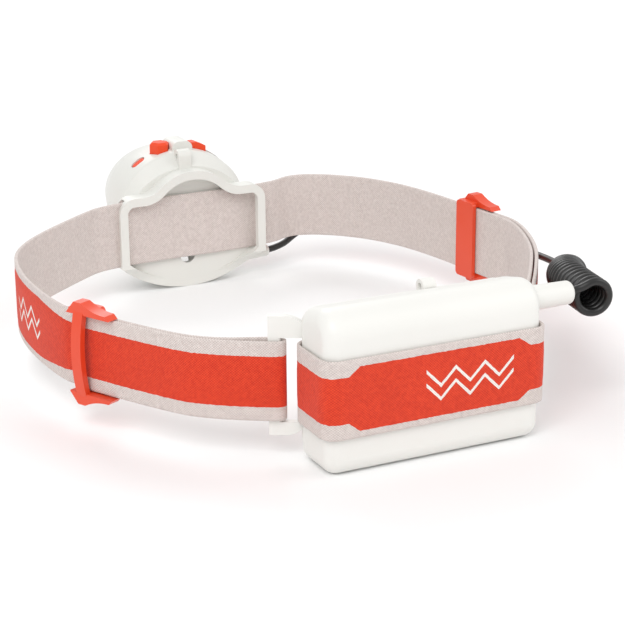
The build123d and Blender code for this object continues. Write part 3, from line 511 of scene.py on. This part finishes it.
def band_half(tree, along):
    """Half the orange stripe's width: wide over the cover, narrow towards the sides."""
    from_middle = add(tree, "Math", MINUS, {0: along, 1: band_length / 2}).outputs[0]
    left = add(tree, "MapRange", inputs={
        "Value": from_middle, "From Min": LEFT_STEP[0] * MM, "From Max": LEFT_STEP[1] * MM,
        "To Min": STRIPE_NARROW * MM, "To Max": STRIPE_WIDE * MM})
    right = add(tree, "MapRange", inputs={
        "Value": from_middle, "From Min": RIGHT_STEP[0] * MM, "From Max": RIGHT_STEP[1] * MM,
        "To Min": STRIPE_WIDE * MM, "To Max": STRIPE_NARROW * MM})
    return add(tree, "Math", LESSER, {0: left.outputs[0], 1: right.outputs[0]}).outputs[0]


MARK_PAST_MIDDLE = 10.0
BAND_MARK_WIDTH = 30.0
band_cloth = elastic("knitted elastic, pack band", band_length / 2 + MARK_PAST_MIDDLE * MM,
                     BAND_MARK_WIDTH * MM, band_half)
band.data.materials.append(band_cloth)
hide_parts("pack_band")
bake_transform(band, "root", "cover", start=(0, -0.0955, 0.0244), end=(0, -0.112, 0.0244))

# ---- battery pack: cover, base, boot ----
# Injection-moulded ABS in warm white. The cover pushes onto the base, and the boot is moulded
# round the lead where it leaves.
POLISH_SPREAD = 0.06


def moulded(name, colour, shade, roughness, grain_mm=0.35, grain_height=0.00004):
    """Moulded plastic from a spark-eroded tool: a fine even grain with a soft sheen.

    Colour and polish vary slowly, over 40 mm, as a moulding's do. The grain is a few times
    coarser than the real one so that it shows.
    """
    material, tree, shader = new_material(name)
    place = add(tree, "TexCoord").outputs["Object"]
    cloud = add(tree, "TexNoise", inputs={"Vector": place, "Scale": 25.0, "Detail": 3.0}).outputs[0]
    grain = add(tree, "TexNoise",
                inputs={"Vector": place, "Scale": 1 / (grain_mm * MM), "Detail": 2.0})
    mixed = add(tree, "Mix", COLOUR_MIX, {0: cloud, 6: linear(shade), 7: linear(colour)})
    tree.links.new(mixed.outputs[2], shader.inputs["Base Color"])
    polish = add(tree, "MapRange", inputs={
        "Value": cloud, "To Min": roughness - POLISH_SPREAD, "To Max": roughness + POLISH_SPREAD})
    tree.links.new(polish.outputs[0], shader.inputs["Roughness"])
    shader.inputs["IOR"].default_value = 1.53
    bump = add(tree, "Bump",
               inputs={"Strength": 0.35, "Distance": grain_height, "Height": grain.outputs[0]})
    tree.links.new(bump.outputs["Normal"], shader.inputs["Normal"])
    return material


def finish_node(node, material):
    """Give a CAD piece its material."""
    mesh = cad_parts[node].data
    mesh.materials.clear()
    mesh.materials.append(material)


# ABS: warm white, with a satin sheen
case_abs = moulded("moulded ABS, warm white", "ECEBE7", "E4E3DE", 0.42)
for node in ("pack_cover", "pack_base", "pack_boot"):
    finish_node(node, case_abs)

# ---- inside the pack ----
# Three plain shrink-sleeved cells lie side by side between nickel-plated contact plates and
# coil springs. A silicone seal goes round the rim that the cover pushes over.
# shrink sleeve: smooth and fairly glossy, with faint waves
sleeve = moulded("shrink-sleeved cell, graphite", "3A3D42", "303338", 0.30, 2.0, 0.00002)
for row in (1, 2, 3):
    finish_node(f"cell_{row}", sleeve)
# plated spring steel: bright, with the drawing marks running one way, 0.25 mm apart
plated, tree, shader = new_material("nickel-plated spring steel")
place = add(tree, "TexCoord").outputs["Object"]
draw = add(tree, "Mapping", inputs={"Vector": place, "Scale": (400.0, 4000.0, 400.0)})
lines = add(tree, "TexNoise", inputs={"Vector": draw.outputs[0], "Scale": 1.0}).outputs[0]
polish = add(tree, "MapRange", inputs={"Value": lines, "To Min": 0.18, "To Max": 0.38})
shader.inputs["Base Color"].default_value = linear("C9C6BE")
shader.inputs["Metallic"].default_value = 1.0
tree.links.new(polish.outputs[0], shader.inputs["Roughness"])
for node in ("contact_plates", "contact_springs"):
    finish_node(node, plated)
# silicone: black and matt, with a soft grain
silicone = moulded("moulded silicone, black", "1C1C1C", "161616", 0.62, 0.6)
for node in ("cover_seal", "lens_gasket"):
    finish_node(node, silicone)

# ---- strap adjusters ----
# Ladder locks moulded in orange acetal: a frame with a bowed crossbar and raised ears. The
# strap's tail threads through, and friction on the bar holds it.
# acetal: smooth, a little waxy, with a sharper shine than the ABS
acetal = moulded("moulded acetal, orange", "EA4E2A", "DC411F", 0.34, 0.5, 0.00002)
for node in ("buckle_left", "buckle_right"):
    finish_node(node, acetal)

# ---- mounting plate and lamp shell ----
# The plate is a rimmed dish with two ears, and the lamp's rear housing hangs between them on
# its pins. The bezel closes the front, and the gland grips the lead in the plate.
# ABS again, a shade greyer than the pack and a little smoother
shell_abs = moulded("moulded ABS, pale grey-white", "E6E6E1", "DCDCD6", 0.38)
for node in ("mounting_plate", "lamp_housing", "bezel", "lamp_gland"):
    finish_node(node, shell_abs)

# ---- window and light engine ----
# A clear window and flood optic, a metallised cup for the spot, and two LEDs on a board that is
# screwed to an aluminium heat sink. The control board and its switches sit behind.
# polycarbonate: clear, glossy, with a faint haze of 8 mm patches
clear, tree, shader = new_material("clear polycarbonate")
place = add(tree, "TexCoord").outputs["Object"]
haze = add(tree, "TexNoise", inputs={"Vector": place, "Scale": 120.0, "Detail": 3.0}).outputs[0]
polish = add(tree, "MapRange", inputs={"Value": haze, "To Min": 0.02, "To Max": 0.07})
shader.inputs["Base Color"].default_value = linear("F4F8FA")
shader.inputs["Transmission Weight"].default_value = 1.0
shader.inputs["IOR"].default_value = 1.58
tree.links.new(polish.outputs[0], shader.inputs["Roughness"])
for node in ("front_lens", "flood_optic"):
    finish_node(node, clear)
# metallised cup: a mirror, with the slight orange peel of the lacquer under it, 2 mm across
mirror, tree, shader = new_material("vacuum-metallised aluminium")
place = add(tree, "TexCoord").outputs["Object"]
peel = add(tree, "TexNoise", inputs={"Vector": place, "Scale": 500.0, "Detail": 2.0}).outputs[0]
shader.inputs["Base Color"].default_value = linear("E6E7E8")
shader.inputs["Metallic"].default_value = 1.0
shader.inputs["Roughness"].default_value = 0.09
bump = add(tree, "Bump", inputs={"Strength": 0.12, "Distance": 0.00005, "Height": peel})
tree.links.new(bump.outputs["Normal"], shader.inputs["Normal"])
finish_node("reflector", mirror)
# extruded aluminium: satin, with die lines 0.4 mm apart along it
milled, tree, shader = new_material("extruded aluminium")
place = add(tree, "TexCoord").outputs["Object"]
draw = add(tree, "Mapping", inputs={"Vector": place, "Scale": (2500.0, 60.0, 2500.0)})
lines = add(tree, "TexNoise", inputs={"Vector": draw.outputs[0], "Scale": 1.0}).outputs[0]
polish = add(tree, "MapRange", inputs={"Value": lines, "To Min": 0.3, "To Max": 0.5})
shader.inputs["Base Color"].default_value = linear("C6C8CA")
shader.inputs["Metallic"].default_value = 1.0
tree.links.new(polish.outputs[0], shader.inputs["Roughness"])
for node in ("heat_sink", "housing_screws", "tilt_pins"):
    finish_node(node, milled)
# solder mask: white and glossy, over a faint weave
laminate = moulded("white solder mask on laminate", "E9ECE8", "DDE2DC", 0.3, 1.5, 0.00002)
for node in ("led_board", "control_board"):
    finish_node(node, laminate)
# phosphor: a chalky yellow
phosphor = moulded("phosphor on ceramic", "F4DE7A", "E8CE5E", 0.5, 0.4)
finish_node("leds", phosphor)
# nylon: satin, black on the switches and its natural cream on the hinge washers
nylon = moulded("moulded nylon, black", "202123", "18191A", 0.5)
finish_node("switches", nylon)
natural = moulded("moulded nylon, natural", "DAD6C8", "CFCABB", 0.5)
finish_node("friction_washers", natural)

# ---- controls ----
# A hexagonal power button, a boost button on the lamp's flank and a beam lever beside the hump,
# each moulded in one piece and pressed or slid against the switches inside.
# elastomer: a strong orange with a dry, even grain and a soft shine
soft_orange = moulded("soft-touch elastomer, orange", "F04A16", "E23C0C", 0.5, 0.3)
for node in ("power_button", "boost_button", "beam_lever"):
    finish_node(node, soft_orange)

# ---- floor and light ----
# A plain pale paper floor under a soft white dome, with three large square lights: a key from
# the wearer's left, a fill from the right, and one from in front of the lamp.
floor_mesh = bmesh.new()
bmesh.ops.create_grid(floor_mesh, x_segments=1, y_segments=1, size=6.0)
floor_data = bpy.data.meshes.new("floor")
floor_mesh.to_mesh(floor_data)
floor_mesh.free()
floor = bpy.data.objects.new("floor", floor_data)
bpy.context.scene.collection.objects.link(floor)
# matt paper: no shine to speak of
paper, tree, shader = new_material("matt white paper")
shader.inputs["Base Color"].default_value = linear("F6F6F6")
shader.inputs["Roughness"].default_value = 0.9
shader.inputs["Specular IOR Level"].default_value = 0.1
floor_data.materials.append(paper)

DOME_STRENGTH = 0.72
# plain colour management keeps the orange from washing out
bpy.context.scene.view_settings.view_transform = "Standard"
world = bpy.data.worlds.new("soft dome")
bpy.context.scene.world = world
world.use_nodes = True
world.node_tree.nodes["Background"].inputs["Color"].default_value = (1.0, 1.0, 1.0, 1.0)
world.node_tree.nodes["Background"].inputs["Strength"].default_value = DOME_STRENGTH


def area_light(name, place, target, size, power):
    """A square soft light aimed at a point, with places and size in metres and power in watts."""
    data = bpy.data.lights.new(name, "AREA")
    data.size = size
    data.energy = power
    lamp = bpy.data.objects.new(name, data)
    bpy.context.scene.collection.objects.link(lamp)
    aim = (Vector(target) - Vector(place)).to_track_quat("-Z", "Y")
    lamp.matrix_world = Matrix.Translation(place) @ aim.to_matrix().to_4x4()


area_light("key", (-0.7, -0.8, 1.1), (0, 0, 0.02), 0.8, 9.0)
area_light("fill", (1.0, -0.6, 0.7), (0, 0, 0.02), 0.8, 3.5)
area_light("back", (0.2, 1.1, 0.9), (0, 0, 0.03), 0.7, 5.0)
